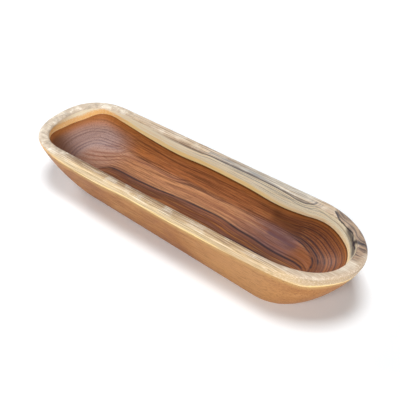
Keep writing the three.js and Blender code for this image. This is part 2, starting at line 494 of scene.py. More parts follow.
# The figure of the woods is made of changes from one tint to another. A change is where it starts and ends,
# then its strength at each if these are not 0 and 1. ALONG, ACROSS and UP are places in the bowl in
# millimetres, and a change named for a tint follows noise, which runs from 0 to 1. A GRAIN is the length and
# width of its streaks in millimetres, and SWINGS are those of the noise in each millimetre, by axis.

# Growth layers of the log: they wander by this height, and rise or sink along the length by these.
LAYER_WANDER = 1.6
LAYER_SWINGS = (0.015, 0.03, 0.03)
LAYER_RISE = ((-250, -13), (-205, -7), (-150, 0), (0, 0.5), (150, 0), (205, 3.3), (250, 6))

HEART_SEAM = colour(92, 52, 28)
HEART_UNDER_SEAM = colour(180, 112, 56)
HEART_WALL = colour(190, 119, 73)
HEART_WALL_LEFT = colour(200, 128, 69)
HEART_WALL_RIGHT = colour(132, 78, 51)
HEART_FLOOR = colour(191, 134, 94)
HEART_FLOOR_PALE = colour(214, 158, 106)
HEART_FLOOR_DARK = colour(138, 86, 66)
HEART_CORE = colour(103, 54, 26)
# The brown wood of the left end with a painted bluish sheen, which makes it mauve.
HEART_LEFT_END_SHEEN = colour(178, 155, 152)
HEART_LEFT_CORNER = colour(100, 64, 46)
# Darker wood of the right of the floor, with a painted bluish sheen that makes it mauve.
HEART_RIGHT_FLOOR_WITH_SHEEN = colour(114, 80, 84)
HEART_RIGHT_END = colour(146, 86, 49)
HEART_DARK = colour(40, 28, 36)
HEART_NAVY = colour(78, 58, 72)
HEART_BROWN_LINE = colour(84, 48, 30)
HEART_OUTSIDE = colour(168, 113, 62)
HEART_OUTSIDE_RED = colour(146, 92, 57)
HEART_OUTSIDE_PALE = colour(190, 139, 87)
HEART_GOLD = colour(198, 156, 99)


def growth_level(shader, place):
    """The growth layer at a place, as its height in the middle of the bowl, with a slight wander."""
    x, _, z = shader.parts(place)
    level = shader.math("ADD", z, shader.curve(x, LAYER_RISE))
    wander = shader.noise(shader.scaled(place, LAYER_SWINGS), detail=1.0)
    lowest = shader.math("SUBTRACT", level, LAYER_WANDER / 2)
    return shader.math("MULTIPLY_ADD", wander, LAYER_WANDER, lowest)


# The slow changes of colour inside. Those named UP follow the growth layers.
WALL_LEFT_ALONG = (-60, -180, 0, 0.85)
WALL_RIGHT_ALONG = (40, 150, 0, 0.9)
# Where the darker floor with its painted sheen takes over towards the right.
FLOOR_RIGHT_SHEEN_ALONG = (30, 110, 0, 0.85)
FLOOR_TIP_ALONG = (135, 160)
FLOOR_TONE_UP = (21, 16.5)
# Where the painted sheen lies on the left end wall and its foot.
LEFT_SHEEN_ALONG = (-130, -190, 0, 0.85)
LEFT_SHEEN_TOP_UP = (46, 26)
LEFT_SHEEN_FOOT_UP = (13, 17, 0.5, 1)
LEFT_CORNER_ALONG = (-150, -195)
LEFT_CORNER_ACROSS = (14, -30, 0, 0.9)
# Towards the right the dark core deepens into painted shade under the near rim.
CORE_RIGHT_SHADE_ALONG = (20, 110, 0, 0.7)


def inner_tone(shader, place, level, near_side):
    """The slow change of colour inside: brown walls, a tan floor, a painted mauve sheen on the left end and
    the right of the floor, and a red-brown near side that deepens into painted shade towards the right.
    """
    x, y, _ = shader.parts(place)
    wall = shader.mix(shader.ramp(x, *WALL_LEFT_ALONG), HEART_WALL, HEART_WALL_LEFT)
    wall = shader.mix(shader.ramp(x, *WALL_RIGHT_ALONG), wall, HEART_WALL_RIGHT)
    # Darker wood with painted sheen towards the right of the floor.
    floor = shader.mix(shader.ramp(x, *FLOOR_RIGHT_SHEEN_ALONG), HEART_FLOOR, HEART_RIGHT_FLOOR_WITH_SHEEN)
    floor = shader.mix(shader.ramp(x, *FLOOR_TIP_ALONG), floor, HEART_RIGHT_END)
    tone = shader.mix(shader.ramp(level, *FLOOR_TONE_UP), wall, floor)
    # Painted sheen on the left end.
    left_end_sheen = shader.zone((x, LEFT_SHEEN_ALONG), (level, LEFT_SHEEN_TOP_UP), (level, LEFT_SHEEN_FOOT_UP))
    tone = shader.mix(left_end_sheen, tone, HEART_LEFT_END_SHEEN)
    left_corner = shader.zone((x, LEFT_CORNER_ALONG), (y, LEFT_CORNER_ACROSS))
    tone = shader.mix(left_corner, tone, HEART_LEFT_CORNER)
    # The core wood of the near side, darkened towards the right by painted shade under the near rim.
    core = shader.mix(shader.ramp(x, *CORE_RIGHT_SHADE_ALONG), HEART_CORE, HEART_BROWN_LINE)
    return shader.mix(near_side, tone, core)


# Fine fibres, which fade by their distance along from the middle of the bowl.
FIBRE_GRAIN = (70, 1.4)
FIBRE_DARK = (0.5, 0.62, 0, 0.4)
FIBRE_PALE = (0.46, 0.36, 0, 0.25)
FIBRE_ENDS_ALONG = (190, 140, 0.3, 1)


def add_fibres(shader, place, x, base):
    """Fine light and dark fibres along the wood, fainter towards the ends of the bowl."""
    fibres = shader.grain(place, *FIBRE_GRAIN)
    from_middle = shader.math("ABSOLUTE", x)
    dark = shader.zone((fibres, FIBRE_DARK), (from_middle, FIBRE_ENDS_ALONG))
    base = shader.mix(dark, base, HEART_BROWN_LINE)
    pale = shader.zone((fibres, FIBRE_PALE), (from_middle, FIBRE_ENDS_ALONG))
    return shader.mix(pale, base, HEART_GOLD)


# Streaks of the floor. The changes at its dark line are by the distance beyond it, less than 0 if nearer.
BROAD_GRAIN = (260, 9.0)
BROAD_DARK = (0.45, 0.6, 0, 0.75)
STREAK_GRAIN = (140, 3.4)
STREAK_PALE = (0.53, 0.68, 0, 0.6)
STREAK_WARM = (0.5, 0.62, 0, 0.5)
STREAK_DARK = (0.47, 0.34, 0, 0.65)
STREAKS_ALONG = (-175, -140)
PALE_RIGHT_ALONG = (30, 120, 1, 0.35)
PALE_BEYOND_LINE = (0, 6, 0.15, 1)
WARM_BEFORE_LINE = (0, -4)


def floor_streaks(shader, x, line_gap, low, base):
    """Long streaks along the floor, which keep to the run of its dark line."""
    flow = shader.join(x, line_gap, 0.0)
    broad = shader.times(shader.ramp(shader.grain(flow, *BROAD_GRAIN), *BROAD_DARK), low)
    base = shader.mix(broad, base, HEART_FLOOR_DARK)
    long_part = shader.times(low, shader.ramp(x, *STREAKS_ALONG))
    fine = shader.grain(flow, *STREAK_GRAIN)
    pale = shader.zone((fine, STREAK_PALE), (line_gap, PALE_BEYOND_LINE), (x, PALE_RIGHT_ALONG))
    base = shader.mix(shader.times(pale, long_part), base, HEART_FLOOR_PALE)
    warm = shader.zone((fine, STREAK_WARM), (line_gap, WARM_BEFORE_LINE))
    base = shader.mix(shader.times(warm, long_part), base, HEART_UNDER_SEAM)
    dark = shader.times(shader.ramp(fine, *STREAK_DARK), long_part)
    return shader.mix(dark, base, HEART_BROWN_LINE)


# Streaks of the walls: by growth layer, and by distance below the seam.
LEVEL_SWINGS = (0.006, 0.45, 1.0)
LEVEL_DARK = (0.5, 0.66, 0, 0.35)
WALL_UP = (17, 21)
SEAM_SWINGS = (0.008, 0.5, 0.008)
SEAM_DARK = (0.5, 0.64, 0, 0.65)
SEAM_PALE = (0.46, 0.36, 0, 0.5)
SEAM_STREAKS_ALONG = (-190, -120, 0.25, 1)


def wall_streaks(shader, x, y, level, below_seam, base):
    """Fine streaks on the walls: level ones, and others that run along the seam."""
    layers = shader.noise(shader.scaled(shader.join(x, level, 0.0), LEVEL_SWINGS), detail=2.0, rough=0.6)
    level_streaks = shader.zone((layers, LEVEL_DARK), (level, WALL_UP))
    base = shader.mix(level_streaks, base, HEART_BROWN_LINE)
    seam_place = shader.scaled(shader.join(x, below_seam, y), SEAM_SWINGS)
    along_seam = shader.noise(seam_place, detail=3.0, rough=0.65)
    middle = shader.zone((level, WALL_UP), (x, SEAM_STREAKS_ALONG))
    dark = shader.times(shader.ramp(along_seam, *SEAM_DARK), middle)
    base = shader.mix(dark, base, HEART_BROWN_LINE)
    pale = shader.times(shader.ramp(along_seam, *SEAM_PALE), middle)
    return shader.mix(pale, base, HEART_UNDER_SEAM)


# Dark growth lines of the hollow. Along the far wall and the left end they keep to a layer: its height, half
# height and strength. Round the right end they run below the seam: the distance, half width and strength.
FAR_LINES = ((18.5, 0.5, 0.8), (20.5, 0.4, 0.3), (17.0, 0.4, 0.35))
LEFT_LINES = ((17.4, 0.9, 0.4), (19.3, 0.9, 0.5), (21.5, 0.9, 0.3), (24.5, 1.0, 0.18), (28.0, 1.0, 0.1))
RIGHT_LINES = (
    (7, 0.9, 0.6), (11, 1.1, 0.75), (16.5, 1.1, 0.65), (20, 1.8, 0.85), (26, 1.4, 0.85), (30, 1.2, 0.7),
    (35, 2.8, 0.9), (40, 1.4, 0.75), (43.5, 3.4, 1.0), (47, 1.4, 0.8), (50.5, 3.2, 1.0),
)
FAR_LINES_START_ALONG = (-165, -130)
FAR_LINES_STOP_ALONG = (160, 130)
LEFT_LINES_ALONG = (-120, -165)
RIGHT_LINES_ALONG = (120, 150)


def growth_lines(shader, x, level, arc, whole, base):
    """Dark growth lines along the far wall and round both ends."""
    left = shader.ramp(x, *LEFT_LINES_ALONG)
    right = shader.ramp(x, *RIGHT_LINES_ALONG)
    middle = shader.zone((x, FAR_LINES_START_ALONG), (x, FAR_LINES_STOP_ALONG))
    groups = (
        (FAR_LINES, level, middle, HEART_DARK),
        (LEFT_LINES, level, left, HEART_NAVY),
        (RIGHT_LINES, arc, right, HEART_DARK),
    )
    for lines, value, where, tint in groups:
        for position, half_width, strength in lines:
            line = shader.times(shader.line(value, position, half_width), where, whole, strength)
            base = shader.mix(line, base, tint)
    return base


# A dark line along the floor, as (along, across) places, and its sway either way. It is a little weaker where
# the growth lines break. A fainter line lies on each side of it, and a short dark streak lies nearer: partly
# dark wood and partly painted shade under the near rim.
FLOOR_LINE = (
    (-170, -16), (-165, -12), (-157, -3), (-148, 2), (-124, 3.5), (-97, 5), (-70, 6), (-37, 10),
    (-3, 12), (30, 13), (65, 10.5), (100, 8.5), (128, 6.5), (153, 6), (165, 4), (174, 0), (182, -10),
)
LINE_SWAY = 2.5
FLOOR_LINE_HALF = 3.4
FLOOR_LINE_START_ALONG = (-172, -150)
FLOOR_LINE_STOP_ALONG = (182, 170)
FLOOR_LINE_BREAKS = (0.5, 1, 0.8, 1)
SIDE_LINE_GAPS = (5.5, -5.0)
SIDE_LINE_HALF = 1.6
SIDE_LINE_STRENGTH = 0.4
# The near streak: partly dark wood, partly painted shade under the near rim.
NEAR_SHADE_STREAK = -11
NEAR_SHADE_STREAK_HALF = 3.0
NEAR_SHADE_STREAK_START_ALONG = (40, 75, 0, 0.9)
NEAR_SHADE_STREAK_STOP_ALONG = (150, 120)


def floor_lines(shader, x, y, line_gap, low, whole, base):
    """The dark line along the floor, a fainter one on each side, and a short streak nearer of dark wood and
    painted shade.
    """
    along = shader.times(shader.zone((x, FLOOR_LINE_START_ALONG), (x, FLOOR_LINE_STOP_ALONG)), low)
    steady = shader.ramp(whole, *FLOOR_LINE_BREAKS)
    main_line = shader.times(shader.line(line_gap, 0, FLOOR_LINE_HALF), along, steady)
    base = shader.mix(main_line, base, HEART_DARK)
    for gap in SIDE_LINE_GAPS:
        side_line = shader.line(line_gap, gap, SIDE_LINE_HALF)
        base = shader.mix(shader.times(side_line, along, whole, SIDE_LINE_STRENGTH), base, HEART_DARK)
    # The near streak: partly dark wood, partly painted shade under the near rim.
    near_shade_part = shader.zone((x, NEAR_SHADE_STREAK_START_ALONG), (x, NEAR_SHADE_STREAK_STOP_ALONG))
    streak = shader.times(shader.line(y, NEAR_SHADE_STREAK, NEAR_SHADE_STREAK_HALF), near_shade_part, low)
    return shader.mix(streak, base, HEART_DARK)


# Darker patches towards the right end, as paths along their middles and changes by the distance from these,
# and the shift that makes their edges ragged.
RED_PATCH = ((104, 49, 28), (134, 46, 23))
RED_PATCH_FADE = (1, 15, 0.6, 0)
BLUE_SMEAR = ((108, 32, 15), (142, 27, 15))
BLUE_SMEAR_FADE = (1, 10, 0.6, 0)
PATCH_SWINGS = (0.04, 0.15, 0.15)
PATCH_SHIFT = 12.0


def dark_patches(shader, place, base):
    """A reddish patch on the far wall and a blue-grey smear on the floor, both towards the right end."""
    shift = shader.vector("SCALE", shader.noise_vector(shader.scaled(place, PATCH_SWINGS)), PATCH_SHIFT)
    shaken = shader.vector("ADD", place, shift)
    patches = ((RED_PATCH, RED_PATCH_FADE, HEART_SEAM), (BLUE_SMEAR, BLUE_SMEAR_FADE, HEART_NAVY))
    for path, fade, tint in patches:
        base = shader.mix(shader.ramp(shader.path_distance(shaken, path), *fade), base, tint)
    return base


# What the parts of the hollow share: where its floor begins, the sway of its lines and their breaks, the
# darker side nearer than the floor's dark line, and the warm and dark edges by distance below the seam.
FLOOR_UP = (24, 17)
SWAY_SWINGS = (0.012, 0.012, 0.012)
SWAY_RANGE = (0.2, 0.8, -LINE_SWAY, LINE_SWAY)
BREAK_SWINGS = (0.03, 0.06, 0.06)
BREAK_STRENGTH = (0.35, 0.5, 0.5, 1)
NEAR_SIDE_BEFORE_LINE = (0.5, -2.5)
NEAR_SIDE_UP = (30, 18)
NEAR_SIDE_ALONG = (-185, -155)
WARM_BELOW_SEAM = (2.0, 12.0, 0.75, 0)
DARK_BELOW_SEAM = (1.0, 3.6, 0.9, 0)
DARK_SEAM_ALONG = (-190, -110, 0.25, 1)


def inner_wood(shader, place, below_seam):
    """The heartwood inside the bowl."""
    x, y, z = shader.parts(place)
    level = growth_level(shader, place)
    low = shader.ramp(z, *FLOOR_UP)
    sway = shader.ramp(shader.noise(shader.scaled(place, SWAY_SWINGS), detail=1.0), *SWAY_RANGE)
    from_curve = shader.math("SUBTRACT", y, shader.curve(x, FLOOR_LINE))
    line_gap = shader.math("ADD", from_curve, sway)
    near_side = shader.zone((line_gap, NEAR_SIDE_BEFORE_LINE), (z, NEAR_SIDE_UP), (x, NEAR_SIDE_ALONG))
    whole = shader.ramp(shader.noise(shader.scaled(place, BREAK_SWINGS)), *BREAK_STRENGTH)

    base = add_fibres(shader, place, x, inner_tone(shader, place, level, near_side))
    base = floor_streaks(shader, x, line_gap, low, base)
    base = wall_streaks(shader, x, y, level, below_seam, base)
    base = shader.mix(shader.ramp(below_seam, *WARM_BELOW_SEAM), base, HEART_UNDER_SEAM)
    base = dark_patches(shader, place, base)
    arc = shader.math("ADD", below_seam, sway)
    base = growth_lines(shader, x, level, arc, whole, base)
    base = floor_lines(shader, x, y, line_gap, low, whole, base)
    seam = shader.zone((below_seam, DARK_BELOW_SEAM), (x, DARK_SEAM_ALONG))
    return shader.mix(seam, base, HEART_SEAM)


# The outside: its mottle and streaks, red towards the base, pale at the right, and gold by the distance below
# the seam.
MOTTLE_SWINGS = (0.02, 0.05, 0.05)
MOTTLE_RED = (0.45, 0.7, 0, 0.7)
MOTTLE_PALE = (0.5, 0.3, 0, 0.6)
OUTSIDE_GRAIN = (60, 2.0)
OUTSIDE_RED = (0.5, 0.64, 0, 0.5)
OUTSIDE_PALE = (0.46, 0.34, 0, 0.5)
BASE_RED_UP = (16, 0, 0, 0.5)
RIGHT_PALE_START_ALONG = (30, 110, 0, 0.8)
RIGHT_PALE_STOP_ALONG = (150, 215, 1, 0.25)
GOLD_BELOW_SEAM = (0.0, 9.0, 0.85, 0)


def outer_wood(shader, place, below_seam):
    """The heartwood outside: mottled and streaked brown, paler to the right and gold under the seam."""
    x, _, z = shader.parts(place)
    mottle = shader.noise(shader.scaled(place, MOTTLE_SWINGS), detail=3.0, rough=0.6)
    base = shader.mix(shader.ramp(mottle, *MOTTLE_RED), HEART_OUTSIDE, HEART_OUTSIDE_RED)
    base = shader.mix(shader.ramp(mottle, *MOTTLE_PALE), base, HEART_OUTSIDE_PALE)
    streaks = shader.grain(place, *OUTSIDE_GRAIN)
    base = shader.mix(shader.ramp(streaks, *OUTSIDE_RED), base, HEART_OUTSIDE_RED)
    base = shader.mix(shader.ramp(streaks, *OUTSIDE_PALE), base, HEART_OUTSIDE_PALE)
    base = shader.mix(shader.ramp(z, *BASE_RED_UP), base, HEART_OUTSIDE_RED)
    right = shader.zone((x, RIGHT_PALE_START_ALONG), (x, RIGHT_PALE_STOP_ALONG))
    base = shader.mix(right, base, HEART_OUTSIDE_PALE)
    return shader.mix(shader.ramp(below_seam, *GOLD_BELOW_SEAM), base, HEART_GOLD)


# The oiled finish: its roughness, which follows the noise of the pores, its shine, and the pores' depth.
HEART_ROUGHNESS = (0.2, 0.8, 0.36, 0.5)
HEART_SHINE = 0.2
SAP_ROUGHNESS = (0.2, 0.8, 0.42, 0.56)
SAP_SHINE = 0.25
PORE_DEPTH = 0.08


def add_finish(shader, base, pores, roughness, shine):
    """A satin surface of a colour, with fine pores."""
    shader.feed(shader.surface.inputs["Base Color"], base)
    shader.feed(shader.surface.inputs["Roughness"], shader.ramp(pores, *roughness))
    shader.surface.inputs["Specular IOR Level"].default_value = shine
    shader.bump(pores, PORE_DEPTH)


HEART_PORE_GRAIN = (14, 0.9)
HEART_PORE_DARK = (0.51, 0.63, 0, 0.4)


def heartwood_material():
    """The brown wood of the body, inside and outside."""
    shader = Shader("heartwood")
    place = shader.place()
    below_seam = shader.attribute("line_distance")
    inner = inner_wood(shader, place, below_seam)
    base = shader.mix(shader.attribute("inside"), outer_wood(shader, place, below_seam), inner)
    pores = shader.grain(place, *HEART_PORE_GRAIN)
    base = shader.mix(shader.ramp(pores, *HEART_PORE_DARK), base, HEART_BROWN_LINE)
    add_finish(shader, base, pores, HEART_ROUGHNESS, HEART_SHINE)
    return shader.material


SAP_GOLD = colour(255, 226, 154)
SAP_GOLD_LEFT = colour(242, 186, 112)
SAP_GOLD_RIGHT = colour(244, 216, 168)
SAP_CREAM = colour(229, 202, 158)
# Whiter cream of the far inner face: the wood's cream with painted light where the front light falls.
SAP_CREAM_FAR_LIT = colour(255, 247, 220)
SAP_CREAM_EDGE = colour(218, 189, 147)
SAP_CREAM_RIGHT = colour(188, 162, 132)
SAP_WHITE = colour(255, 248, 232)
SAP_TOP_NEAR = colour(188, 157, 121)
SAP_TOP_FAR = colour(207, 185, 160)
SAP_TOP_FAR_GREY = colour(195, 187, 174)
SAP_TOP_LEFT = colour(210, 192, 170)
SAP_TOP_RIGHT = colour(200, 178, 154)
SAP_BROWN = colour(116, 88, 64)
SAP_GREY = colour(116, 104, 90)
SAP_BLUE_GREY = colour(124, 126, 130)
SAP_DARK = colour(56, 52, 60)
SAP_PATCH = colour(176, 148, 124)
SAP_PATCH_DARK = colour(96, 80, 74)

# The way over the rim, from 0 at the seam outside to 1 at the seam inside, where each of its faces begins.
INNER_FACE = (0.5, 0.6)
OUTER_FACE = (0.5, 0.45)

# The sides of the rim. The width of the gold edge changes along it, and strays within GOLD_RAGGED.
FACE_FAR_ACROSS = (-20, 20)
GOLD_RIGHT_ALONG = (60, 150)
GOLD_LEFT_ALONG = (-150, -200)
CREAM_RIGHT_ALONG = (60, 220)
CREAM_RIGHT_ACROSS = (20, -10)
GOLD_WIDTH_LEFT_ALONG = (-185, -210, 2.5, 7.5)
GOLD_WIDTH_FAR_ALONG = (20, 120, 6.5, 3.8)
GOLD_RAGGED = 5.0
GOLD_GRAIN = (40, 3.0)
CREAM_BEYOND_GOLD = (-2.0, 2.0)
FACE_SWINGS = (0.008, 1.5, 0.008)
FACE_PALE = (0.5, 0.42, 0, 0.6)
FACE_GREY = (0.54, 0.6)
GREY_FROM_SEAM = (4.0, 9.0, 0.1, 1)
GREY_ALONG = (-120, 220, 0.2, 0.9)


def face_wood(shader, place, from_seam):
    """The sapwood on the sides of the rim: gold at the seam, then cream with fine grey lines."""
    x, y, _ = shader.parts(place)
    far = shader.ramp(y, *FACE_FAR_ACROSS)
    gold = shader.mix(shader.times(shader.ramp(x, *GOLD_RIGHT_ALONG), far), SAP_GOLD, SAP_GOLD_RIGHT)
    gold = shader.mix(shader.ramp(x, *GOLD_LEFT_ALONG), gold, SAP_GOLD_LEFT)
    inside = shader.ramp(shader.attribute("across"), *INNER_FACE)
    # Painted light: the far inner face's cream is whiter than the near one.
    cream = shader.mix(shader.times(far, inside), SAP_CREAM, SAP_CREAM_FAR_LIT)
    right_tip = shader.zone((x, CREAM_RIGHT_ALONG), (y, CREAM_RIGHT_ACROSS))
    cream = shader.mix(right_tip, cream, SAP_CREAM_RIGHT)
    left_width = shader.ramp(x, *GOLD_WIDTH_LEFT_ALONG)
    far_width = shader.times(far, shader.ramp(x, *GOLD_WIDTH_FAR_ALONG))
    gold_width = shader.math("MAXIMUM", far_width, left_width)
    even = shader.math("SUBTRACT", from_seam, GOLD_RAGGED / 2)
    ragged = shader.math("MULTIPLY_ADD", shader.grain(place, *GOLD_GRAIN), GOLD_RAGGED, even)
    beyond_gold = shader.math("SUBTRACT", ragged, gold_width)
    base = shader.mix(shader.ramp(beyond_gold, *CREAM_BEYOND_GOLD), gold, cream)
    seam_place = shader.scaled(shader.join(x, from_seam, y), FACE_SWINGS)
    bands = shader.noise(seam_place, detail=3.0, rough=0.65)
    pale = shader.times(shader.ramp(bands, *FACE_PALE), inside)
    base = shader.mix(pale, base, SAP_GOLD_RIGHT)
    grey = shader.zone((bands, FACE_GREY), (from_seam, GREY_FROM_SEAM), (x, GREY_ALONG))
    return shader.mix(grey, base, SAP_GREY)


# The top of the rim: its tones, its brown inner edge and cream outer edge on the near side, its streaks,
# which fade by their distance along from the middle, its white clouds, and the blotches of the left end.
TOP_GREY_ALONG = (-40, 60)
TOP_LEFT_ALONG = (-130, -200)
TOP_RIGHT_ALONG = (130, 165)
INNER_EDGE_ACROSS = (-68, -61)
INNER_EDGE_NEAR_ACROSS = (0, -20)
INNER_EDGE_ALONG = (100, 0, 0.15, 0.8)
OUTER_EDGE_ACROSS = (-67, -71)
OUTER_EDGE_ALONG = (160, 100)
TOP_GRAIN = (160, 2.2)
TOP_BROWN = (0.5, 0.64, 0, 0.45)
TOP_CREAM = (0.46, 0.36, 0, 0.5)
TOP_ENDS_ALONG = (200, 150, 0.15, 1)
CLOUD_SWINGS = (0.05, 0.05, 0.05)
CLOUD_WHITE = (0.5, 0.7, 0, 0.35)
BLOTCH_SWINGS = (0.06, 0.06, 0.06)
BLOTCH_WHITE = (0.52, 0.62, 0, 0.6)
BLOTCH_GREY = (0.48, 0.38, 0, 0.35)
BLOTCHES_ALONG = (-120, -180)


def top_wood(shader, place, far):
    """The sapwood on top of the rim: beige near, brown to grey far, and paler at the ends."""
    x, y, _ = shader.parts(place)
    far_tone = shader.mix(shader.ramp(x, *TOP_GREY_ALONG), SAP_TOP_FAR, SAP_TOP_FAR_GREY)
    top = shader.mix(far, SAP_TOP_NEAR, far_tone)
    inner_edge = shader.zone((y, INNER_EDGE_ACROSS), (y, INNER_EDGE_NEAR_ACROSS), (x, INNER_EDGE_ALONG))
    top = shader.mix(inner_edge, top, SAP_BROWN)
    outer_edge = shader.zone((y, OUTER_EDGE_ACROSS), (x, OUTER_EDGE_ALONG))
    top = shader.mix(outer_edge, top, SAP_CREAM)
    top = shader.mix(shader.ramp(x, *TOP_LEFT_ALONG), top, SAP_TOP_LEFT)
    top = shader.mix(shader.ramp(x, *TOP_RIGHT_ALONG), top, SAP_TOP_RIGHT)
    from_middle = shader.math("ABSOLUTE", x)
    broad = shader.grain(place, *TOP_GRAIN)
    top = shader.mix(shader.zone((broad, TOP_BROWN), (from_middle, TOP_ENDS_ALONG)), top, SAP_BROWN)
    top = shader.mix(shader.zone((broad, TOP_CREAM), (from_middle, TOP_ENDS_ALONG)), top, SAP_CREAM)
    clouds = shader.noise(shader.scaled(place, CLOUD_SWINGS), detail=3.0, rough=0.6)
    top = shader.mix(shader.ramp(clouds, *CLOUD_WHITE), top, SAP_WHITE)
    blotches = shader.noise(shader.scaled(place, BLOTCH_SWINGS), detail=4.0, rough=0.65)
    top = shader.mix(shader.zone((blotches, BLOTCH_WHITE), (x, BLOTCHES_ALONG)), top, SAP_WHITE)
    return shader.mix(shader.zone((blotches, BLOTCH_GREY), (x, BLOTCHES_ALONG)), top, SAP_GREY)


# Grey growth lines of the sapwood on the far side of the hollow, as heights along the length, and the bands
# beside the upper one, from a distance below it to a distance above it.
UPPER_GREY_LINE = (
    (-250, 66), (-180, 64), (-142, 61), (-86, 61.5), (-32, 63.4), (-6, 65.9), (67, 66.3),
    (114, 63.9), (129, 62.1), (141, 64), (151, 68),
)
LOWER_GREY_LINE = (
    (100, 48), (131, 53.7), (145, 58.9), (159, 61.7), (175, 60), (188, 59.3), (201, 57),
    (210, 54), (218, 49), (228, 42),
)
GREY_LINE_HALF = 1.5
UPPER_LINE_ALONG = (-120, -40, 0, 0.7)
LOWER_LINE_ALONG = (140, 165, 0, 0.4)
BAND_SWINGS = (0.006, 0.7, 1.0)
BAND_BLUE = (0.48, 0.56, 0, 0.75)
BANDS_BELOW = (-9, -4)
BANDS_ABOVE = (5, 2)
BANDS_ALONG = (-80, 10)


def grey_lines(shader, x, z, above, inner_far, base):
    """The two grey growth lines on the far side of the hollow, with thin blue-grey bands by the upper one."""
    bands = shader.noise(shader.scaled(shader.join(x, above, 0.0), BAND_SWINGS), detail=2.0, rough=0.6)
    blue = shader.zone((bands, BAND_BLUE), (above, BANDS_BELOW), (above, BANDS_ABOVE), (x, BANDS_ALONG))
    base = shader.mix(shader.times(blue, inner_far), base, SAP_BLUE_GREY)
    above_lower = shader.math("SUBTRACT", z, shader.curve(x, LOWER_GREY_LINE))
    for gap, along in ((above, UPPER_LINE_ALONG), (above_lower, LOWER_LINE_ALONG)):
        line = shader.times(shader.line(gap, 0, GREY_LINE_HALF), inner_far, shader.ramp(x, *along))
        base = shader.mix(line, base, SAP_DARK)
    return base


# A dark crack over the rim at the right end, with a branch, and beside it a dark smudge and a brown mark at
# the rim's inner edge, as ragged paths and changes by the distance from these. A brown patch on the rim's top
# lies beyond an edge.
CRACK = (
    (177.6, 61.9, 68), (184.3, 56.6, 67.9), (190.3, 52.9, 65.7), (204, 47.6, 64.1), (211.6, 43.6, 65.5),
    (214.5, 41.5, 64.7), (215.5, 39.7, 58.6), (219.9, 35, 56.4), (225.3, 28.9, 57.6),
)
CRACK_FADE = (0.4, 2.0, 0.95, 0)
CRACK_BRANCH = ((219.3, 35.9, 57.1), (221.6, 35.2, 62.9), (228.2, 30.4, 67.8), (238.7, 30.9, 66.4))
BRANCH_FADE = (0.4, 4.2, 0.95, 0)
SMUDGE = ((207, 46, 62), (226, 26, 52))
SMUDGE_FADE = (1, 10, 0.85, 0)
RIM_TIP_MARK = ((237, 30, 68), (236, 8, 67))
RIM_TIP_MARK_FADE = (3, 12, 0.95, 0)
KNOT_SWINGS = (0.25, 0.25, 0.25)
KNOT_SHIFT = 2.4
PATCH_EDGE = ((170, 75), (176, 64), (190, 53), (204, 47.6), (214, 41.5), (226, 31), (240, 30.5))
PATCH_BEYOND_EDGE = (0, 1.5, 0, 0.85)
PATCH_ALONG = (172, 182)
PATCH_BAND_SWINGS = (0.04, 0.45, 0.1)
PATCH_BAND_DARK = (0.45, 0.58)


def add_knot(shader, place, on_top, base):
    """The knot at the right end: a brown patch and a brown mark, a dark smudge, and a crack with a branch."""
    x, y, z = shader.parts(place)
    ragged = shader.vector("SCALE", shader.noise_vector(shader.scaled(place, KNOT_SWINGS)), KNOT_SHIFT)
    shaken = shader.vector("ADD", place, ragged)
    beyond = shader.math("SUBTRACT", y, shader.curve(x, PATCH_EDGE))
    patch = shader.times(shader.zone((beyond, PATCH_BEYOND_EDGE), (x, PATCH_ALONG)), on_top)
    band_place = shader.scaled(shader.join(x, beyond, z), PATCH_BAND_SWINGS)
    bands = shader.noise(band_place, detail=3.0, rough=0.65)
    wood = shader.mix(shader.ramp(bands, *PATCH_BAND_DARK), SAP_PATCH, SAP_PATCH_DARK)
    base = shader.mix(patch, base, wood)
    marks = (
        (RIM_TIP_MARK, RIM_TIP_MARK_FADE, wood),
        (SMUDGE, SMUDGE_FADE, SAP_DARK),
        (CRACK, CRACK_FADE, SAP_DARK),
        (CRACK_BRANCH, BRANCH_FADE, SAP_DARK),
    )
    for path, fade, tint in marks:
        base = shader.mix(shader.ramp(shader.path_distance(shaken, path), *fade), base, tint)
    return base


# Where the top of the rim begins: near its full height, and on the far side above the upper grey line.
RIM_FAR_ACROSS = (20, 50)
RIM_TOP_UP = (HEIGHT - 4.0, HEIGHT - 1.5)
FAR_TOP_ABOVE_LINE = (-0.5, 1.5)
FAR_TOP_ALONG = (-140, -70)

# The beige edge of the outer face at the near right, up to a distance from the seam.
BEIGE_ACROSS = (0, -30)
BEIGE_START_ALONG = (70, 130, 0, 0.85)
BEIGE_STOP_ALONG = (185, 230, 1, 0.3)
BEIGE_FROM_SEAM = (17, 10)

# Pores of the sapwood: dark ones mostly on the top and the near side, which fade by their distance along from
# the middle, and white ones all over.
SAP_PORE_GRAIN = (40, 1.1)
SAP_PORE_BROWN = (0.5, 0.62)
SAP_PORE_WHITE = (0.46, 0.36, 0, 0.4)
SAP_PORE_TOP = (0, 1, 0.1, 0.65)
SAP_PORE_NEAR_ACROSS = (0, -30, 0, 0.4)
SAP_PORE_ENDS_ALONG = (205, 150, 0.25, 1)


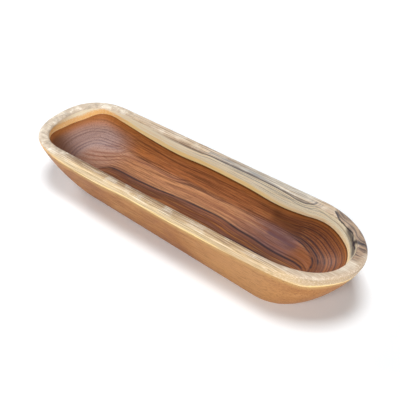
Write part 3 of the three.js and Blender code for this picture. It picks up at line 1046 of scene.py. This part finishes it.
def sapwood_material():
    """The pale wood of the rim, with its grey lines and its knot."""
    shader = Shader("sapwood")
    place = shader.place()
    x, y, z = shader.parts(place)
    far = shader.ramp(y, *RIM_FAR_ACROSS)
    across = shader.attribute("across")
    inner_far = shader.times(far, shader.ramp(across, *INNER_FACE))
    above = shader.math("SUBTRACT", z, shader.curve(x, UPPER_GREY_LINE))
    rim_top = shader.ramp(z, *RIM_TOP_UP)
    far_top = shader.times(shader.zone((above, FAR_TOP_ABOVE_LINE), (x, FAR_TOP_ALONG)), far)
    on_top = shader.math("MAXIMUM", rim_top, far_top)
    from_seam = shader.attribute("line_distance")
    base = shader.mix(on_top, face_wood(shader, place, from_seam), top_wood(shader, place, far))
    near_right = shader.zone((y, BEIGE_ACROSS), (x, BEIGE_START_ALONG), (x, BEIGE_STOP_ALONG))
    outer_part = shader.zone((across, OUTER_FACE), (from_seam, BEIGE_FROM_SEAM))
    base = shader.mix(shader.times(near_right, outer_part), base, SAP_CREAM_EDGE)

    pores = shader.grain(place, *SAP_PORE_GRAIN)
    long_side = shader.ramp(shader.math("ABSOLUTE", x), *SAP_PORE_ENDS_ALONG)
    near_fibres = shader.ramp(y, *SAP_PORE_NEAR_ACROSS)
    fibrous = shader.math("MAXIMUM", shader.ramp(on_top, *SAP_PORE_TOP), near_fibres)
    dark = shader.times(shader.ramp(pores, *SAP_PORE_BROWN), fibrous, long_side)
    base = shader.mix(dark, base, SAP_BROWN)
    base = shader.mix(shader.ramp(pores, *SAP_PORE_WHITE), base, SAP_WHITE)
    base = grey_lines(shader, x, z, above, inner_far, base)
    base = add_knot(shader, place, on_top, base)

    add_finish(shader, base, pores, SAP_ROUGHNESS, SAP_SHINE)
    return shader.material


def make_bowl():
    """The two woods, each in place of its solid and on the one body."""
    pieces = (
        (heartwood_piece(), "heartwood_body", heartwood_material()),
        (sapwood_piece(), "sapwood_rim", sapwood_material()),
    )
    for piece, node, material in pieces:
        piece.data.materials.append(material)
        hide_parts(node)
        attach(piece, "root")


# The floor: half its size in metres, its shade for light that it throws back, and its colour as it is seen.
FLOOR_HALF_SIZE = 2.0
FLOOR_SHADE = 0.85
FLOOR_SEEN = (1.03, 1.06, 1.09)


def is_seen_ray(tree):
    """1 for rays that show the surroundings: from the camera, or by a mirror or glass."""
    path = tree.nodes.new("ShaderNodeLightPath")
    total = path.outputs["Is Camera Ray"]
    for name in ("Is Glossy Ray", "Is Transmission Ray"):
        node = tree.nodes.new("ShaderNodeMath")
        node.operation = "MAXIMUM"
        tree.links.new(total, node.inputs[0])
        tree.links.new(path.outputs[name], node.inputs[1])
        total = node.outputs[0]
    return total


def make_floor():
    """A pale floor that keeps the bowl's shadow and looks white elsewhere."""
    size = FLOOR_HALF_SIZE
    mesh = bpy.data.meshes.new("floor")
    corners = [(-size, -size, 0), (size, -size, 0), (size, size, 0), (-size, size, 0)]
    mesh.from_pydata(corners, [], [(0, 1, 2, 3)])
    floor = bpy.data.objects.new("floor", mesh)
    bpy.context.collection.objects.link(floor)
    shader = Shader("floor")
    shade = shader.mix(is_seen_ray(shader.tree), (FLOOR_SHADE,) * 3 + (1.0,), FLOOR_SEEN + (1.0,))
    shader.feed(shader.surface.inputs["Base Color"], shade)
    shader.surface.inputs["Roughness"].default_value = 1.0
    shader.surface.inputs["Specular IOR Level"].default_value = 0.0
    mesh.materials.append(shader.material)


# Strength of the light from all round, where 1 is white.
WORLD_LIGHT = 0.06


def make_world():
    """Even white light from all round, seen as plain white."""
    world = bpy.data.worlds.new("studio")
    world.use_nodes = True
    tree = world.node_tree
    background = tree.nodes["Background"]
    background.inputs["Color"].default_value = (1, 1, 1, 1)
    node = tree.nodes.new("ShaderNodeMapRange")
    node.inputs["To Min"].default_value = WORLD_LIGHT
    tree.links.new(is_seen_ray(tree), node.inputs["Value"])
    tree.links.new(node.outputs[0], background.inputs["Strength"])
    bpy.context.scene.world = world


def direction(azimuth, elevation):
    """The way towards a viewer who stands at an azimuth and elevation, in degrees."""
    across, up = math.radians(azimuth), math.radians(elevation)
    return Vector((math.sin(across) * math.cos(up), -math.cos(across) * math.cos(up), math.sin(up)))


# The lamps, all at one distance in metres: the name, azimuth and elevation in degrees, size in metres and
# power in watts.
LAMP_DISTANCE = 8.0
LAMPS = (
    ("top", 222, 83, 3.0, 385),
    ("left", 258, 25, 3.0, 260),
    ("high front", 15, 40, 3.0, 205),
    ("low front", 22, 8, 2.0, 240),
    ("right", 85, 8, 2.0, 200),
)


def make_lamp(name, azimuth, elevation, size, power):
    """A soft square lamp that points at the bowl. The azimuth is where it stands, as for the camera."""
    lamp = bpy.data.lights.new(name, "AREA")
    lamp.size = size
    lamp.energy = power
    obj = bpy.data.objects.new(name, lamp)
    back = direction(azimuth, elevation)
    obj.location = back * LAMP_DISTANCE
    obj.rotation_euler = back.to_track_quat("Z", "Y").to_euler()
    obj.visible_camera = False
    bpy.context.collection.objects.link(obj)


# The photograph's camera: its direction in degrees, then its distance, the point that it looks at, its
# lens and its sensor, all in millimetres.
CAMERA_AZIMUTH = 39.12
CAMERA_ELEVATION = 39.34
CAMERA_DISTANCE = 963.3
CAMERA_AIM = (19.74, -5.68, 47.42)
CAMERA_LENS = 67.5
CAMERA_SENSOR = 36.0


def make_camera():
    camera = bpy.data.cameras.new("camera")
    camera.lens = CAMERA_LENS
    camera.sensor_width = CAMERA_SENSOR
    obj = bpy.data.objects.new("camera", camera)
    back = direction(CAMERA_AZIMUTH, CAMERA_ELEVATION)
    obj.location = (Vector(CAMERA_AIM) + back * CAMERA_DISTANCE) * MM
    obj.rotation_euler = back.to_track_quat("Z", "Y").to_euler()
    bpy.context.collection.objects.link(obj)
    bpy.context.scene.camera = obj


make_camera()
make_bowl()
make_floor()
make_world()
for lamp in LAMPS:
    make_lamp(*lamp)
bpy.context.scene.view_settings.view_transform = "Standard"
